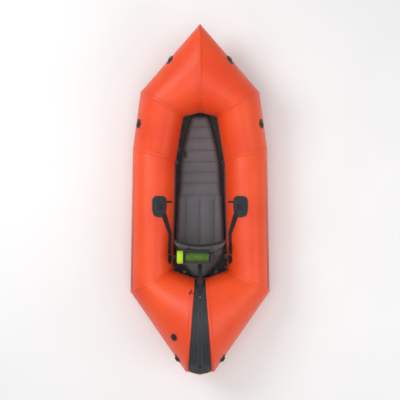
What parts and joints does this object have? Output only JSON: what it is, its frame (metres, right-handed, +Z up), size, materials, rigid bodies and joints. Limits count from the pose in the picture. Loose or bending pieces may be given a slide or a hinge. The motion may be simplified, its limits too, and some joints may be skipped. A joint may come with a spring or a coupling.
{
  "type": "inflatable kayak",
  "caption": "Self-bailing inflatable kayak: ring of air tubes round an open cockpit, drained floor with inflatable mat, backrest, thigh straps, lashing rings and a cargo zip.",
  "frame": {"origin": "middle of the bounding box in plan, on the ground line under the air tubes", "axes": "+X towards the bow, +Y to port, +Z up"},
  "size_m": [2.2408, 0.912, 0.4975],
  "materials": {
    "backrest_grey": "woven",
    "bag_lime": "woven",
    "mat_grey": "satin coated",
    "mesh_dark": "mesh",
    "neoprene": "matt",
    "plastic_black": "matt",
    "ring_steel": "satin",
    "tpu_black": "satin coated",
    "tpu_orange": "satin coated",
    "webbing": "woven",
    "zip_coil": "satin",
    "zip_metal": "satin"
  },
  "bodies": {
    "hull": {"back_buckle": "plastic_black", "back_strap": "webbing", "backrest_flap": "webbing", "bow_cover": "tpu_black", "bow_patches": "tpu_black", "bow_tabs": "webbing", "bow_tube_port": "tpu_orange", "bow_tube_starboard": "tpu_orange", "deck_anchor": "webbing", "drain_rings": "tpu_black", "floor_mat": "mat_grey", "floor_sheet": "tpu_black", "forward_cover": "tpu_black", "forward_tube_port": "tpu_orange", "forward_tube_starboard": "tpu_orange", "gusset_cover": "tpu_black", "mat_valve": "plastic_black", "mid_patches": "tpu_black", "mid_tabs": "webbing", "side_cover": "tpu_black", "side_tube_port": "tpu_orange", "side_tube_starboard": "tpu_orange", "stern_cover": "tpu_black", "stern_gusset": "tpu_orange", "stern_patches": "tpu_black", "stern_tabs": "webbing", "stern_tube_port": "tpu_orange", "stern_tube_starboard": "tpu_orange", "thigh_patches": "tpu_black", "thigh_strip_port": "webbing", "thigh_strip_starboard": "webbing", "valve_base": "plastic_black", "zip_chain": "zip_coil", "zip_panel": "tpu_black", "zip_stops": "zip_coil"},
    "zip_slider": {"zip_slider": "zip_metal"},
    "zip_pull": {"zip_pull": "plastic_black"},
    "valve_cap": {"valve_cap": "plastic_black"},
    "valve_poppet": {"valve_poppet": "plastic_black"},
    "mat_valve_cap": {"mat_valve_cap": "plastic_black"},
    "backrest": {"backrest": "backrest_grey", "backrest_piping": "webbing", "throw_bag": "bag_lime", "bag_pocket": "mesh_dark", "pocket_mesh": "mesh_dark", "pocket_rim": "webbing", "bag_cross": "webbing", "bag_lock": "plastic_black"},
    "thigh_strap_port": {"thigh_pad_port": "neoprene", "thigh_web_port": "webbing"},
    "bow_ring_port": {"bow_ring_port": "ring_steel"},
    "mid_ring_port": {"mid_ring_port": "ring_steel"},
    "stern_ring_port": {"stern_ring_port": "ring_steel"},
    "thigh_strap_starboard": {"thigh_pad_starboard": "neoprene", "thigh_web_starboard": "webbing"},
    "bow_ring_starboard": {"bow_ring_starboard": "ring_steel"},
    "mid_ring_starboard": {"mid_ring_starboard": "ring_steel"},
    "stern_ring_starboard": {"stern_ring_starboard": "ring_steel"}
  },
  "joints": [
    {"name": "zip_travel", "type": "hinge", "parent": "hull", "child": "zip_slider", "pos_m": [-0.8, 0, 0.108], "axis": [0, -1, 0], "range_deg": [0, 66.5]},
    {"name": "zip_pull_swing", "type": "hinge", "parent": "zip_slider", "child": "zip_pull", "pos_m": [-0.61462, 0, 0.45084], "axis": [0.4756, 0, 0.8796], "range_deg": [-25, 90]},
    {"name": "valve_cap_turn", "type": "hinge", "parent": "hull", "child": "valve_cap", "pos_m": [-0.86441, 0.16348, 0.42085], "axis": [-0.2758, 0.6548, 0.7037], "range_deg": [0, 90]},
    {"name": "valve_poppet_push", "type": "slide", "parent": "hull", "child": "valve_poppet", "axis": [0.2758, -0.6548, -0.7037], "range_m": [0, 0.0048], "stiffness_N_per_m": 120, "springref_m": -0.002},
    {"name": "mat_cap_turn", "type": "hinge", "parent": "hull", "child": "mat_valve_cap", "pos_m": [0.3, 0.096, 0.12182], "axis": [0.9935, 0, 0.1142], "range_deg": [0, 180]},
    {"name": "backrest_fold", "type": "hinge", "parent": "hull", "child": "backrest", "pos_m": [-0.352, 0, 0.113], "axis": [0, 1, 0], "range_deg": [-5, 20], "deforming": ["back_strap"]},
    {"name": "thigh_flip_port", "type": "hinge", "parent": "hull", "child": "thigh_strap_port", "pos_m": [-0.35, 0.184, 0.247], "axis": [0.9998, -0.0163, 0.0148], "range_deg": [0, 36]},
    {"name": "bow_ring_swing_port", "type": "hinge", "parent": "hull", "child": "bow_ring_port", "pos_m": [0.89587, 0.19625, 0.35527], "axis": [-0.165, -0.3536, 0.9207], "range_deg": [0, 160]},
    {"name": "mid_ring_swing_port", "type": "hinge", "parent": "hull", "child": "mid_ring_port", "pos_m": [0.49085, 0.39967, 0.29358], "axis": [0, 0.4368, -0.8995], "range_deg": [0, 160]},
    {"name": "stern_ring_swing_port", "type": "hinge", "parent": "hull", "child": "stern_ring_port", "pos_m": [-1.01629, 0.14902, 0.33487], "axis": [0.7641, 0.5812, -0.2798], "range_deg": [0, 160]},
    {"name": "thigh_flip_starboard", "type": "hinge", "parent": "hull", "child": "thigh_strap_starboard", "pos_m": [-0.35, -0.184, 0.247], "axis": [-0.9998, -0.0163, -0.0148], "range_deg": [0, 36]},
    {"name": "bow_ring_swing_starboard", "type": "hinge", "parent": "hull", "child": "bow_ring_starboard", "pos_m": [0.89587, -0.19625, 0.35527], "axis": [0.165, -0.3536, -0.9207], "range_deg": [0, 160]},
    {"name": "mid_ring_swing_starboard", "type": "hinge", "parent": "hull", "child": "mid_ring_starboard", "pos_m": [0.49085, -0.39967, 0.29358], "axis": [0, 0.4368, 0.8995], "range_deg": [0, 160]},
    {"name": "stern_ring_swing_starboard", "type": "hinge", "parent": "hull", "child": "stern_ring_starboard", "pos_m": [-1.01629, -0.14902, 0.33487], "axis": [-0.7641, 0.5812, 0.2798], "range_deg": [0, 160]}
  ]
}
